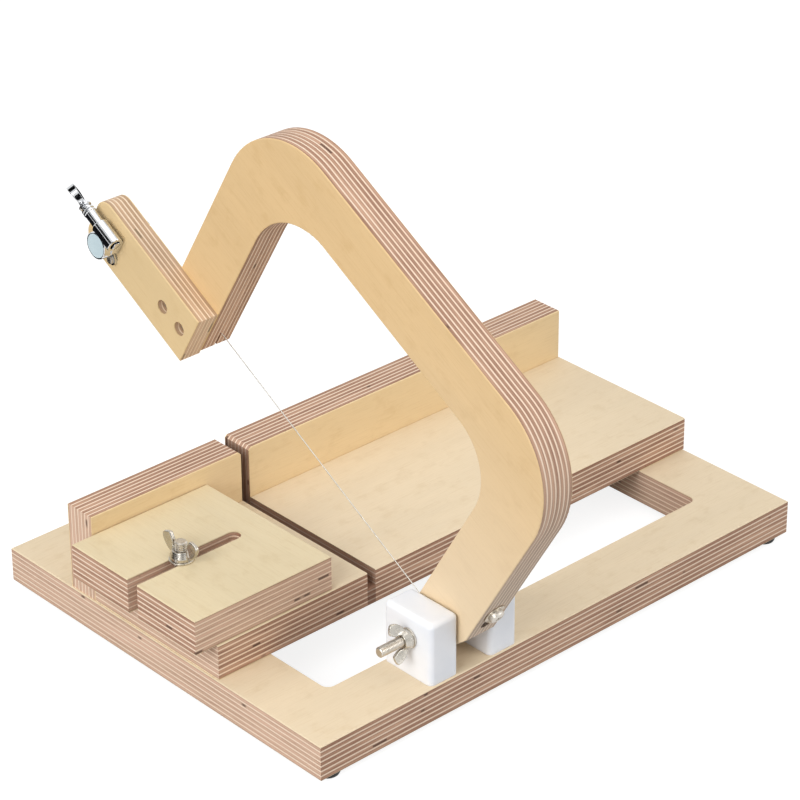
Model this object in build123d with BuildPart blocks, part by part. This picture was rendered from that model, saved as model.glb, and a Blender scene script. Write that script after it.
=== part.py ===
from build123d import *
import math
import os

os.makedirs("parts", exist_ok=True)

# A soap cutter: one steel wire strung across a plywood arm that swings down through a kerf.
# Sizes are in millimetres. +X runs to the right along the base, +Y to the back, +Z up.
# The origin is on the table, under the middle of the base.

# Boards
ply = 18.0                      # birch plywood of the base, bed, fence, stop plate and arm
thin_ply = 12.0                 # plywood of the tuner block
ease = 0.6                      # rounding on the boards' long edges
base_length = 305.0
base_depth = 225.0
rail = 32.0                     # width of the base frame's four rails
window_corner = 4.0             # radius in the corners of the base's window
bed_setback = 70.0              # front of the base to the front of the bed
bed_depth = 90.0
bed_inset = 1.0                 # left end of the base to the left end of bed and fence
fence_height = 45.0             # above the base
stop_width = 80.0
stop_back_gap = 0.5             # running gap between the stop plate and the fence
stop_front_gap = 0.5            # front of the bed to the front of the stop plate

# Cut line
cut_from_left = 92.9            # left end of the base to the plane of the wire
kerf_width = 5.0
kerf_depth = 9.0                # below the top of the bed
kerf_mouth = 1.5                # chamfer along the top of the fence's kerf
slice_set = 24.0                # wire to the right edge of the stop plate, as it is set

# Feet
foot_diameter = 12.0
foot_height = 3.0
foot_round = 1.2
foot_end_inset = 9.5            # ends of the base to the middle of a foot
foot_side_inset = 7.0           # front and back of the base to the middle of a foot

# Screws that hold the boards together
screw_diameter = 4.0
screw_length = 28.0
screw_head = 8.0
screw_head_height = 2.6
screw_sink = 4.0                # depth of each screw's counterbore
screw_point = 4.0
screw_tip_radius = 0.6
screw_tip_length = 0.4
recess_width = 1.0              # cross recess of the heads
recess_depth = 1.3
hole_clearance = 0.1            # on the radius, round screws and bolts
head_clearance = 0.4            # on the radius, round the heads of screws
socket_clearance = 0.7          # on the radius, round the stop bolt's head
overcut = 1.0                   # how far a cut runs out past the wood
bed_screw_inset = 12.0          # from the bed's front and back edges
fence_screw_inset = 40.0        # from the ends of the fence
block_screw_spread = 8.0        # from the pivot's axis, to the front and back

# M6 hardware of the stop
m6 = 6.0
m6_flats = 10.0
m6_head = 4.0
m6_washer = 12.0
m6_wing_span = 24.0
m6_wing_height = 11.2
m6_wing_thickness = 2.6
m6_boss = 11.0
m6_boss_top = 8.6
m6_boss_height = 4.6
stop_bolt_length = 60.0

# M5 hardware of the pivot
m5 = 5.0
m5_flats = 8.0
m5_head = 3.5
m5_washer = 10.0
m5_wing_span = 21.0
m5_wing_height = 9.9
m5_wing_thickness = 2.3
m5_boss = 9.4
m5_boss_top = 7.4
m5_boss_height = 4.2
pivot_bolt_length = 72.0

# Both sets
bolt_tip = 0.9
washer_thickness = 1.0
wing_root = 0.6                 # how far a wing starts outside the thread
wing_foot = 0.8                 # seat to the underside of a wing
wing_drop = 0.4                 # top of the boss to the root of a wing
boss_collar = 1.5               # height of the boss's straight collar
thread_clearance = 0.08         # on the radius, bolt to wing nut
# One wing from its underside round its tip: distance in from the tip, share of the height
wing_outline = [(3.2, 0.36), (0.5, 0.74), (0.0, 0.95), (1.2, 1.0), (4.2, 0.97), (6.0, 0.72)]

# Stop plate
slot_width = 7.0
slot_end = 17.2                 # closed end of the slot to the right edge of the plate
stop_bolt_inset = 17.5          # left end of the base to the stop bolt
head_sink = 4.0                 # depth of the stop bolt's counterbore under the base
stop_wing_turn = 2.7            # turn of the stop's wing nut from the Y axis, in degrees

# Arm, given as it lies closed: s runs back from the pivot, t runs up from it
arm_open = 30.5                 # angle that the arm stands open, in degrees
pivot_setback = 15.0            # front of the base to the pivot
pivot_height = 20.0             # above the base
front_leg = 32.0
back_leg = 30.5
bar = 32.0
arm_rise = 132.5                # pivot to the top of the bar
arm_clearance = 0.5             # ends of the legs to the base when closed
front_corner = 44.0             # outer radius over the front leg
back_corner = 46.0
front_inner = 29.0              # inner radius over the front leg
back_inner = 35.0
heel_rise = 7.5                 # pivot up to the start of the heel's bevel
heel_angle = 22.0               # slope of the bevel from the front edge, in degrees
heel_round = 12.0
toe_round = 3.0
running_clearance = 0.08        # on the radius, pivot bolt in the arm
shim = 0.75                     # thickness of the shims on both sides of the arm

# Pivot blocks
block_width = 17.0
block_depth = 31.0
block_back_shift = 1.5          # middle of a block behind the pivot's axis
block_height = 32.0
block_round = 2.6
shim_diameter = 14.0
pivot_wing_turn = 15.0          # turn of the pivot's wing nut from upright, in degrees

# Wire
wire_diameter = 0.5
wire_drop = 10.0                # pivot down to the wire when closed
saw_width = 1.2                 # saw slots in the ends of the legs
wire_clearance = 0.1
wrap_turns = 3
wrap_pitch = 1.0
wire_bend = 1.6                 # radius of the wire's bend under the front leg
turn_samples = 36               # points on one turn where the gap is measured

# Lug that ends the wire on the front leg
lug_rise = 25.0                 # pivot up to the lug's screw
lug_diameter = 11.0
lug_thickness = 0.8
barrel_diameter = 2.8
barrel_length = 5.6
barrel_nose = 0.8               # taper where the barrel joins the ring
barrel_floor = 1.68             # depth of solid metal behind the barrel's hole
wire_start = 1.96               # ring to the start of the wire in the barrel
barrel_tilt = 40.0              # dip of the barrel into its pocket, in degrees
pocket_rise = 17.0              # pivot up to the middle of the pocket
pocket_diameter = 7.5
pocket_depth = 6.0
wire_bore = 2.4
wire_bore_depth = 5.0           # front edge of the leg to the bore's axis
lug_screw_length = 15.0
lug_screw_head = 7.6
lug_screw_head_height = 2.6

# Tuner block
block_reach = 81.3              # length of the tuner block
block_strip = 30.5              # width of the tuner block
block_drop = 2.0                # how far the tuner block reaches below the leg's end
block_corner = 8.0
tuner_screw_pitch = 14.0
tuner_screw_length = 20.0
tuner_screw_head = 6.2
tuner_screw_head_height = 2.0
tuner_screw_sink = 5.0

# Tuning machine
post_from_end = 15.8            # far end of the tuner block to the string post
post_diameter = 6.0
post_chamfer = 0.6
post_stand = 10.4               # post beyond the tuner block's right face
post_string_hole = 1.4
post_clearance = 0.06           # on the radius, post in its bushing
housing_height = 9.3
housing_radius = 6.9
housing_wall = 1.4
housing_plate = 1.6
cap_radius = 6.1
cap_thickness = 0.8
worm_offset = 7.6               # post to worm axis
worm_height = 5.5               # block to worm axis
worm_tube = 8.2
worm_tube_length = 13.5
worm_bore = 5.4
worm_diameter = 4.6
worm_length = 8.0
worm_run_out = 0.6
worm_back = 7.5                 # post to the open end of the tube
sleeve_diameter = 6.0           # the narrower sleeve that the key's shaft runs in
sleeve_bore = 4.2
sleeve_length = 8.5
gear_radius = 5.0
gear_thickness = 4.0
key_clearance = 0.06            # on the radius, key in its tube
ring_gap = 0.3                  # end of the sleeve to the key's first ring
ring_diameter = 6.4
ring_width = 1.4
neck_diameter = 4.2
neck_width = 1.0
stem_step = 0.4                 # radius lost from the neck to the button's stem
stem_depth = 2.0                # how far the stem runs into the button
button_length = 9.6
button_width = 13.0
button_thin = 2.8
button_thick = 4.2
button_root_width = 7.15
button_tip_width = 10.4
button_belly = 5.28             # root of the button to its widest place
button_round = 1.26
button_turn = 53.0              # turn of the button from the block's face, in degrees
ear_radius = 2.8
ear_back = 6.0
ear_drop = 7.2
ear_screw = 2.0
ear_screw_head = 4.0
ear_screw_head_height = 1.5
ear_screw_length = 9.0
bushing_diameter = 8.0
bushing_flats = 10.0
bushing_hex_height = 2.4
bushing_set = 0.5               # end of the bushing below the block's left face
tuner_washer_diameter = 12.0
tuner_washer_thickness = 0.8

# Places that follow from the sizes
left = -base_length / 2
right = base_length / 2
front = -base_depth / 2
back = base_depth / 2
base_bottom = foot_height
base_top = base_bottom + ply
bed_top = base_top + ply
plate_top = bed_top + ply
bed_left = left + bed_inset
bed_length = right - bed_left
bed_front = front + bed_setback
bed_back = bed_front + bed_depth
bed_middle = (bed_front + bed_back) / 2
fence_back = bed_back + ply
stop_depth = bed_depth - stop_back_gap - stop_front_gap
fence_top = base_top + fence_height
kerf_floor = bed_top - kerf_depth
cut = left + cut_from_left
left_rail = left + rail / 2
right_rail = right - rail / 2

pivot_y = front + pivot_setback
pivot_z = base_top + pivot_height
arm_plane = Plane(
    origin=(cut, pivot_y, pivot_z),
    x_dir=(0, math.cos(math.radians(arm_open)), math.sin(math.radians(arm_open))),
    z_dir=(1, 0, 0),
)
leg_end = -(pivot_height - arm_clearance)
reach = base_depth - pivot_setback - back_leg
arm_front = -front_leg / 2
arm_back = reach + back_leg
bar_under = arm_rise - bar
post_s = reach + block_reach - post_from_end
wrap_radius = post_diameter / 2 + wire_diameter / 2 + wire_clearance / 2
post_t = -wire_drop + wrap_radius
slot_top = -wire_drop + wire_diameter / 2 + wire_clearance
block_face = -ply / 2 - thin_ply
block_middle = leg_end - block_drop + block_strip / 2


def arm_point(s, t, x=0.0):
    """A point of the arm, from the pivot, in the part's own frame."""
    return arm_plane.from_local_coords(Vector(s, t, x))


def arm_vector(s, t, x=0.0):
    """A direction of the arm in the part's own frame."""
    return arm_point(s, t, x) - arm_point(0, 0, 0)


def axis_plane(start, along, across=None):
    """A plane whose Y axis runs along a fastener and whose X axis is a radius."""
    along = Vector(*along).normalized()
    side = Vector(*across) if across else Vector(1, 0, 0)
    if abs(side.dot(along)) > 0.9:
        side = Vector(0, 1, 0)
    normal = side.cross(along).normalized()
    return Plane(origin=start, x_dir=along.cross(normal), z_dir=normal)


def turned(start, along, outline, across=None):
    """A solid turned about an axis; outline lists (radius, height) pairs from the start point."""
    with BuildPart() as solid:
        with BuildSketch(axis_plane(start, along, across)):
            with BuildLine():
                Polyline(*outline, close=True)
            make_face()
        revolve(axis=Axis(start, along))
    return solid.part


def face_outward(points, out):
    """One plane for each point, all looking the same way out of the wood."""
    return [Plane(origin=point, z_dir=out) for point in points]


def wood_screw(seat, out, diameter, length, head, head_height):
    """A screw whose head sits on the seat point and stands out along the out direction."""
    r = diameter / 2
    rim = head_height / 3
    body = [
        (0, -length),
        (screw_tip_radius, -length + screw_tip_length),
        (r, -length + min(screw_point, length / 2)),
        (r, 0),
        (head / 2, 0),
        (head / 2, head_height - rim),
        (head / 2 - rim, head_height),
        (0, head_height),
    ]
    top = Vector(*seat) + Vector(*out).normalized() * head_height
    with BuildPart() as screw:
        add(turned(seat, out, body))
        with BuildSketch(Plane(origin=top, x_dir=axis_plane(seat, out).x_dir, z_dir=out)):
            Rectangle(head / 2, recess_width)
            Rectangle(recess_width, head / 2)
        extrude(amount=-recess_depth, mode=Mode.SUBTRACT)
    return screw.part


def hex_bolt(seat, out, diameter, length, flats, head):
    """A bolt whose hexagon head sits on the seat and stands out along the out direction."""
    r = diameter / 2
    shank = [(0, -length), (r - bolt_tip, -length), (r, -length + bolt_tip), (r, 0), (0, 0)]
    with BuildPart() as bolt:
        add(turned(seat, out, shank))
        with BuildSketch(Plane(origin=seat, x_dir=axis_plane(seat, out).x_dir, z_dir=out)):
            RegularPolygon(flats / 2, 6, major_radius=False)
        extrude(amount=head)
    return bolt.part


def wing_nut(seat, out, wings, thread, span, height, thickness, foot, top, boss_height):
    """A wing nut on the seat point; its two wings stand out along the wings direction."""
    hole = thread / 2 + thread_clearance
    boss = [
        (hole, 0),
        (foot / 2, 0),
        (foot / 2, boss_collar),
        (top / 2, boss_height),
        (hole, boss_height),
    ]
    tip = span / 2
    root = hole + wing_root
    shoulder = boss_height - wing_drop
    outline = [
        (root, wing_foot),
        (foot / 2, wing_foot),
        *[(tip - inward, height * share) for inward, share in wing_outline],
        (top / 2, shoulder),
        (root, shoulder),
    ]
    with BuildPart() as nut:
        add(turned(seat, out, boss))
        for side in (1, -1):
            with BuildSketch(axis_plane(seat, out, wings)) as wing:
                with BuildLine():
                    Polyline(*[(side * u, v) for u, v in outline], close=True)
                make_face()
            extrude(amount=thickness / 2, both=True)
    return nut.part


def plain_washer(seat, out, hole, diameter, thickness):
    """A flat washer on the seat point."""
    section = [(hole, 0), (diameter / 2, 0), (diameter / 2, thickness), (hole, thickness)]
    return turned(seat, out, section)


# Screws under the base: two rows that hold the bed, one pair the fence, and four the pivot blocks
under_bed = [
    (x, y)
    for x in (left_rail, right_rail)
    for y in (bed_front + bed_screw_inset, bed_back - bed_screw_inset)
]
under_fence = [(x, (bed_back + fence_back) / 2) for x in (left_rail, right_rail)]
block_offset = ply / 2 + shim + block_width / 2
under_blocks = [
    (cut + side * block_offset, pivot_y + step)
    for side in (-1, 1)
    for step in (-block_screw_spread, block_screw_spread)
]
under_base = under_bed + under_fence + under_blocks
screw_seat = base_bottom + screw_sink
behind_fence = [
    (x, (base_top + bed_top) / 2)
    for x in (bed_left + fence_screw_inset, (bed_left + right) / 2, right - fence_screw_inset)
]
foot_places = [
    (x, y)
    for x in (left + foot_end_inset, right - foot_end_inset)
    for y in (front + foot_side_inset, back - foot_side_inset)
]
screw_hole = screw_diameter / 2 + hole_clearance
head_hole = screw_head / 2 + head_clearance
bolt_socket = m6_flats / math.sqrt(3) + socket_clearance
tuner_head_hole = tuner_screw_head / 2 + head_clearance
stop_hole = m6 / 2 + hole_clearance
pivot_hole = m5 / 2 + hole_clearance
stop_bolt_x = left + stop_bolt_inset
screw_reach = screw_sink + screw_length - ply + hole_clearance
long_screw = (screw_diameter, screw_length, screw_head, screw_head_height)
stop_nut = (
    m6,
    m6_wing_span,
    m6_wing_height,
    m6_wing_thickness,
    m6_boss,
    m6_boss_top,
    m6_boss_height,
)
pivot_nut = (
    m5,
    m5_wing_span,
    m5_wing_height,
    m5_wing_thickness,
    m5_boss,
    m5_boss_top,
    m5_boss_height,
)
block_screws = [
    reach + back_leg / 2 + step for step in (-tuner_screw_pitch / 2, tuner_screw_pitch / 2)
]
ear_s = post_s - ear_back
ear_t = post_t - ear_drop
down = (0, 0, -1)
backward = (0, 1, 0)
leftward = (-1, 0, 0)

# Base: a plywood plate with one large window
with BuildPart() as base_frame:
    with BuildSketch(Plane.XY.offset(base_bottom)):
        Rectangle(base_length, base_depth)
    extrude(amount=ply)
    with BuildSketch(Plane.XY.offset(base_bottom)):
        RectangleRounded(base_length - 2 * rail, base_depth - 2 * rail, window_corner)
    extrude(amount=ply, mode=Mode.SUBTRACT)
    faces = base_frame.faces().filter_by(Axis.Z)
    fillet(faces.edges(), ease)
    with Locations(*face_outward([(x, y, base_bottom) for x, y in under_base], down)):
        CounterBoreHole(screw_hole, head_hole, screw_sink, ply)
    with Locations(*face_outward([(stop_bolt_x, bed_middle, base_bottom)], down)):
        CounterBoreHole(stop_hole, bolt_socket, head_sink, ply)
base_frame.part.label = "base_frame"
export_step(base_frame.part, "parts/base_frame.step")

# Bed: the board that the soap lies on, with the kerf that the wire drops into
with BuildPart() as bed_board:
    with BuildSketch(Plane.XY.offset(base_top)):
        with Locations(((bed_left + right) / 2, bed_middle)):
            Rectangle(bed_length, bed_depth)
    extrude(amount=ply)
    fillet(bed_board.edges().filter_by(Axis.X), ease)
    with BuildSketch(Plane.XY.offset(kerf_floor)):
        with Locations((cut, bed_middle)):
            Rectangle(kerf_width, bed_depth)
    extrude(amount=kerf_depth, mode=Mode.SUBTRACT)
    with Locations(*face_outward([(x, y, base_top) for x, y in under_bed], down)):
        Hole(screw_hole, screw_reach)
    with Locations(*face_outward([(stop_bolt_x, bed_middle, base_top)], down)):
        Hole(stop_hole, ply)
    with Locations(*face_outward([(x, bed_back, z) for x, z in behind_fence], backward)):
        Hole(screw_hole, screw_reach)
bed_board.part.label = "bed_board"
export_step(bed_board.part, "parts/bed_board.step")

# Fence: stands on the base behind the bed, cut through above the kerf's floor
with BuildPart() as fence_board:
    with BuildSketch(Plane.XY.offset(base_top)):
        with Locations(((bed_left + right) / 2, (bed_back + fence_back) / 2)):
            Rectangle(bed_length, ply)
    extrude(amount=fence_height)
    fillet(fence_board.edges().filter_by(Axis.X).group_by(Axis.Z)[-1], ease)
    with BuildSketch(Plane.XZ.offset(-bed_back)):
        with BuildLine():
            half = kerf_width / 2
            Polyline(
                (cut - half, kerf_floor),
                (cut + half, kerf_floor),
                (cut + half, fence_top - kerf_mouth),
                (cut + half + kerf_mouth, fence_top),
                (cut - half - kerf_mouth, fence_top),
                (cut - half, fence_top - kerf_mouth),
                close=True,
            )
        make_face()
    extrude(amount=-ply, mode=Mode.SUBTRACT)
    with Locations(*face_outward([(x, y, base_top) for x, y in under_fence], down)):
        Hole(screw_hole, screw_reach)
    with Locations(*face_outward([(x, fence_back, z) for x, z in behind_fence], backward)):
        CounterBoreHole(screw_hole, head_hole, screw_sink, ply)
fence_board.part.label = "fence_board"
export_step(fence_board.part, "parts/fence_board.step")

# Stop plate: slides along the fence and sets the width of the slice
stop_right = cut - slice_set
stop_left = stop_right - stop_width
stop_back = bed_back - stop_back_gap
stop_middle = stop_back - stop_depth / 2
with BuildPart() as stop_plate:
    with BuildSketch(Plane.XY.offset(bed_top)):
        with Locations(((stop_left + stop_right) / 2, stop_middle)):
            Rectangle(stop_width, stop_depth)
    extrude(amount=ply)
    fillet(stop_plate.faces().filter_by(Axis.Z).edges(), ease)
    slot_round = slot_width / 2
    slot_centre = stop_right - slot_end - slot_round
    with BuildSketch(Plane.XY.offset(bed_top)):
        with Locations(((stop_left + slot_centre) / 2, bed_middle)):
            Rectangle(slot_centre - stop_left, slot_width)
        with Locations((slot_centre, bed_middle)):
            Circle(slot_round)
    extrude(amount=ply, mode=Mode.SUBTRACT)
stop_plate.part.label = "stop_plate"
export_step(stop_plate.part, "parts/stop_plate.step")

# Arm: an upturned U, drawn closed and built in its open place
heel_run = (heel_rise - leg_end) * math.tan(math.radians(heel_angle))
with BuildPart() as arm_frame:
    with BuildSketch(arm_plane.offset(-ply / 2)) as profile:
        with BuildLine():
            Polyline(
                (arm_front, heel_rise),
                (arm_front, arm_rise),
                (arm_back, arm_rise),
                (arm_back, leg_end),
                (reach, leg_end),
                (reach, bar_under),
                (-arm_front, bar_under),
                (-arm_front, leg_end),
                (arm_front + heel_run, leg_end),
                close=True,
            )
        make_face()
        corners = [
            (arm_front, arm_rise, front_corner),
            (arm_back, arm_rise, back_corner),
            (reach, bar_under, back_inner),
            (-arm_front, bar_under, front_inner),
            (-arm_front, leg_end, toe_round),
            (arm_front + heel_run, leg_end, heel_round),
        ]
        for s, t, radius in corners:
            fillet(profile.vertices().sort_by_distance((s, t, 0))[0], radius)
    extrude(amount=ply)
    fillet(arm_frame.faces().filter_by(Axis.X).edges(), ease)
    with Locations(*face_outward([arm_point(0, 0, -ply / 2)], leftward)):
        Hole(m5 / 2 + running_clearance, ply)
    with BuildSketch(arm_plane.offset(-saw_width / 2)):
        for s in (0, reach + back_leg / 2):
            with Locations((s, (slot_top + leg_end - overcut) / 2)):
                Rectangle(front_leg + 2 * overcut, slot_top - leg_end + overcut)
    extrude(amount=saw_width, mode=Mode.SUBTRACT)
    with Locations(*face_outward([arm_point(arm_front, pocket_rise)], arm_vector(-1, 0))):
        Hole(pocket_diameter / 2, pocket_depth)
    bore_end = arm_point(arm_front + wire_bore_depth, leg_end)
    with Locations(*face_outward([bore_end], arm_vector(0, -1))):
        Hole(wire_bore / 2, pocket_rise - leg_end)
    with Locations(*face_outward([arm_point(arm_front, lug_rise)], arm_vector(-1, 0))):
        Hole(screw_hole, lug_screw_length - lug_thickness + hole_clearance)
    screw_ends = [arm_point(s, block_middle, -ply / 2) for s in block_screws]
    with Locations(*face_outward(screw_ends, leftward)):
        Hole(screw_hole, tuner_screw_sink + tuner_screw_length - thin_ply + hole_clearance)
arm_frame.part.label = "arm_frame"
export_step(arm_frame.part, "parts/arm_frame.step")

# Tuner block: a strip of thinner plywood on the arm's left face
with BuildPart() as tuner_block:
    with BuildSketch(arm_plane.offset(block_face)) as strip:
        with Locations((reach + block_reach / 2, block_middle)):
            Rectangle(block_reach, block_strip)
        far = strip.vertices().group_by(Axis.X)[-1]
        fillet(far, block_corner)
    extrude(amount=thin_ply)
    fillet(tuner_block.faces().filter_by(Axis.X).sort_by(Axis.X)[0].edges(), ease)
    screw_mouths = [arm_point(s, block_middle, block_face) for s in block_screws]
    with Locations(*face_outward(screw_mouths, leftward)):
        CounterBoreHole(screw_hole, tuner_head_hole, tuner_screw_sink, thin_ply)
    with Locations(*face_outward([arm_point(post_s, post_t, block_face)], leftward)):
        Hole(bushing_diameter / 2 + hole_clearance, thin_ply)
    with Locations(*face_outward([arm_point(ear_s, ear_t, block_face)], leftward)):
        Hole(ear_screw / 2 + hole_clearance, ear_screw_length - housing_plate + hole_clearance)
tuner_block.part.label = "tuner_block"
export_step(tuner_block.part, "parts/tuner_block.step")

# Pivot blocks: one on each side of the arm, as deep as the front rail
block_places = {"pivot_block_left": -1, "pivot_block_right": 1}
for name, side in block_places.items():
    with BuildPart() as pivot_block:
        with BuildSketch(Plane.XY.offset(base_top)):
            with Locations((cut + side * block_offset, pivot_y + block_back_shift)):
                Rectangle(block_width, block_depth)
        extrude(amount=block_height)
        upright = pivot_block.edges().filter_by(Axis.Z)
        top_edges = pivot_block.faces().sort_by(Axis.Z)[-1].edges()
        fillet(upright + top_edges, block_round)
        outer_face = (cut + side * (block_offset + block_width / 2), pivot_y, pivot_z)
        with Locations(*face_outward([outer_face], (side, 0, 0))):
            Hole(pivot_hole, block_width)
        screw_mouths = [
            (cut + side * block_offset, pivot_y + step, base_top)
            for step in (-block_screw_spread, block_screw_spread)
        ]
        with Locations(*face_outward(screw_mouths, down)):
            Hole(screw_hole, screw_reach)
    pivot_block.part.label = name
    export_step(pivot_block.part, f"parts/{name}.step")

# Pivot hardware: bolt from the right, shims beside the arm, washer and wing nut on the left
block_outer = block_offset + block_width / 2
pivot_head = (cut + block_outer, pivot_y, pivot_z)
pivot_end = (cut - block_outer, pivot_y, pivot_z)
with BuildPart() as pivot_bolt:
    add(hex_bolt(pivot_head, (1, 0, 0), m5, pivot_bolt_length, m5_flats, m5_head))
pivot_bolt.part.label = "pivot_bolt"
export_step(pivot_bolt.part, "parts/pivot_bolt.step")

with BuildPart() as pivot_shims:
    for x in (cut - ply / 2 - shim, cut + ply / 2):
        add(plain_washer((x, pivot_y, pivot_z), (1, 0, 0), pivot_hole, shim_diameter, shim))
pivot_shims.part.label = "pivot_shims"
export_step(pivot_shims.part, "parts/pivot_shims.step")

with BuildPart() as pivot_washer:
    add(plain_washer(pivot_end, leftward, pivot_hole, m5_washer, washer_thickness))
pivot_washer.part.label = "pivot_washer"
export_step(pivot_washer.part, "parts/pivot_washer.step")

with BuildPart() as pivot_wing_nut:
    tilt = math.radians(pivot_wing_turn)
    seat = (cut - block_outer - washer_thickness, pivot_y, pivot_z)
    add(wing_nut(seat, leftward, (0, math.sin(tilt), math.cos(tilt)), *pivot_nut))
pivot_wing_nut.part.label = "pivot_wing_nut"
export_step(pivot_wing_nut.part, "parts/pivot_wing_nut.step")

# Stop hardware: the bolt comes up through base, bed and slot
with BuildPart() as stop_bolt:
    seat = (stop_bolt_x, bed_middle, base_bottom + head_sink)
    add(hex_bolt(seat, down, m6, stop_bolt_length, m6_flats, m6_head))
stop_bolt.part.label = "stop_bolt"
export_step(stop_bolt.part, "parts/stop_bolt.step")

with BuildPart() as stop_washer:
    seat = (stop_bolt_x, bed_middle, plate_top)
    add(plain_washer(seat, (0, 0, 1), stop_hole, m6_washer, washer_thickness))
stop_washer.part.label = "stop_washer"
export_step(stop_washer.part, "parts/stop_washer.step")

with BuildPart() as stop_wing_nut:
    turn = math.radians(stop_wing_turn)
    seat = (stop_bolt_x, bed_middle, plate_top + washer_thickness)
    add(wing_nut(seat, (0, 0, 1), (-math.sin(turn), math.cos(turn), 0), *stop_nut))
stop_wing_nut.part.label = "stop_wing_nut"
export_step(stop_wing_nut.part, "parts/stop_wing_nut.step")

# Feet: four low rubber discs
with BuildPart() as rubber_feet:
    r = foot_diameter / 2
    for x, y in foot_places:
        with BuildSketch(Plane.XY):
            with Locations((x, y)):
                Circle(r)
        extrude(amount=foot_height)
    fillet(rubber_feet.edges().filter_by(GeomType.CIRCLE).group_by(Axis.Z)[0], foot_round)
rubber_feet.part.label = "rubber_feet"
export_step(rubber_feet.part, "parts/rubber_feet.step")

# Screws
with BuildPart() as base_screws:
    for x, y in under_base:
        add(wood_screw((x, y, screw_seat), down, *long_screw))
base_screws.part.label = "base_screws"
export_step(base_screws.part, "parts/base_screws.step")

with BuildPart() as fence_screws:
    for x, z in behind_fence:
        add(wood_screw((x, fence_back - screw_sink, z), backward, *long_screw))
fence_screws.part.label = "fence_screws"
export_step(fence_screws.part, "parts/fence_screws.step")

with BuildPart() as tuner_block_screws:
    for s in block_screws:
        seat = arm_point(s, block_middle, block_face + tuner_screw_sink)
        add(
            wood_screw(
                seat,
                leftward,
                screw_diameter,
                tuner_screw_length,
                tuner_screw_head,
                tuner_screw_head_height,
            )
        )
tuner_block_screws.part.label = "tuner_block_screws"
export_step(tuner_block_screws.part, "parts/tuner_block_screws.step")

with BuildPart() as lug_screw:
    add(
        wood_screw(
            arm_point(arm_front - lug_thickness, lug_rise),
            arm_vector(-1, 0),
            screw_diameter,
            lug_screw_length,
            lug_screw_head,
            lug_screw_head_height,
        )
    )
lug_screw.part.label = "lug_screw"
export_step(lug_screw.part, "parts/lug_screw.step")

# Wire lug: a ring under the screw, with a barrel that dips into the pocket
dip = math.radians(barrel_tilt)
barrel_s = arm_front - lug_thickness / 2
barrel_t = lug_rise - lug_diameter / 2
barrel_way = (math.sin(dip), -math.cos(dip))
barrel_end = (barrel_s + barrel_length * barrel_way[0], barrel_t + barrel_length * barrel_way[1])
with BuildPart() as wire_lug:
    ring_seat = arm_point(arm_front, lug_rise)
    add(plain_washer(ring_seat, arm_vector(-1, 0), screw_hole, lug_diameter, lug_thickness))
    crimp = [
        (0, -barrel_nose),
        (barrel_diameter / 2, 0),
        (barrel_diameter / 2, barrel_length),
        (wire_diameter / 2 + wire_clearance, barrel_length),
        (wire_diameter / 2 + wire_clearance, barrel_floor),
        (0, barrel_floor),
    ]
    add(turned(arm_point(barrel_s, barrel_t), arm_vector(*barrel_way), crimp))
wire_lug.part.label = "wire_lug"
export_step(wire_lug.part, "parts/wire_lug.step")

# Cutting wire: from the lug, down the bore, back along both saw slots, and round the post
down_s = arm_front + wire_bore_depth + wire_bore / 2 - wire_diameter / 2 - wire_clearance
start = (
    barrel_s + wire_start * barrel_way[0],
    barrel_t + wire_start * barrel_way[1],
)
knee_t = start[1] - (down_s - start[0]) / math.tan(dip)
quarter = math.pi / 2
wrap_angles = [i * quarter for i in range(4 * wrap_turns + 1)]


def wrap_point(angle):
    """Centre line of the wire on the post, from the point where it arrives."""
    rise = wrap_pitch * angle / (2 * math.pi)
    return arm_point(
        post_s + wrap_radius * math.sin(angle), post_t - wrap_radius * math.cos(angle), -rise
    )


def wrap_tangent(angle):
    """Direction of the wire on the post; it arrives square to the post."""
    climb = 0.0 if angle == 0 else wrap_pitch / (2 * math.pi)
    way = arm_vector(wrap_radius * math.cos(angle), wrap_radius * math.sin(angle), -climb)
    return way.normalized()


with BuildPart() as cutting_wire:
    with BuildLine() as route:
        FilletPolyline(
            arm_point(*start),
            arm_point(down_s, knee_t),
            arm_point(down_s, -wire_drop),
            arm_point(post_s, -wire_drop),
            radius=[wire_bend, wire_bend],
        )
        for a, b in zip(wrap_angles, wrap_angles[1:]):
            p, q = wrap_point(a), wrap_point(b)
            u, v = wrap_tangent(a), wrap_tangent(b)
            chord = q - p
            both = u + v
            bend = 2 * (u.dot(v) - 1)
            dot = chord.dot(both)
            step = (dot - math.sqrt(dot * dot - bend * chord.dot(chord))) / bend
            first, second = p + u * step, q - v * step
            joint = (first + second) * 0.5
            TangentArc(p, joint, tangent=u)
            TangentArc(joint, q, tangent=(second - first).normalized())
        last = wrap_angles[-1]
        Line(wrap_point(last), wrap_point(last) + wrap_tangent(last) * wire_diameter)
    with BuildSketch(Plane(origin=arm_point(*start), z_dir=arm_vector(*barrel_way))):
        Circle(wire_diameter / 2)
    sweep(path=route.wires()[0])
cutting_wire.part.label = "cutting_wire"
export_step(cutting_wire.part, "parts/cutting_wire.step")

# Least gap between the turns on the post, measured on points of the centre line
sample_count = turn_samples * wrap_turns + 1
turn_points = [wrap_point(i * 2 * math.pi / turn_samples) for i in range(sample_count)]
least_gap = min(
    (turn_points[i] - turn_points[j]).length - wire_diameter
    for i in range(sample_count)
    for j in range(i + turn_samples // 2, sample_count)
)
print("least gap between the turns of wire", round(least_gap, 3))
wire_length = route.wires()[0].length
wire_area = math.pi * wire_diameter**2 / 4
print("wire length", round(wire_length, 1))
print("wire volume", round(cutting_wire.part.volume, 2), "section x length",
      round(wire_area * wire_length, 2))

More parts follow.
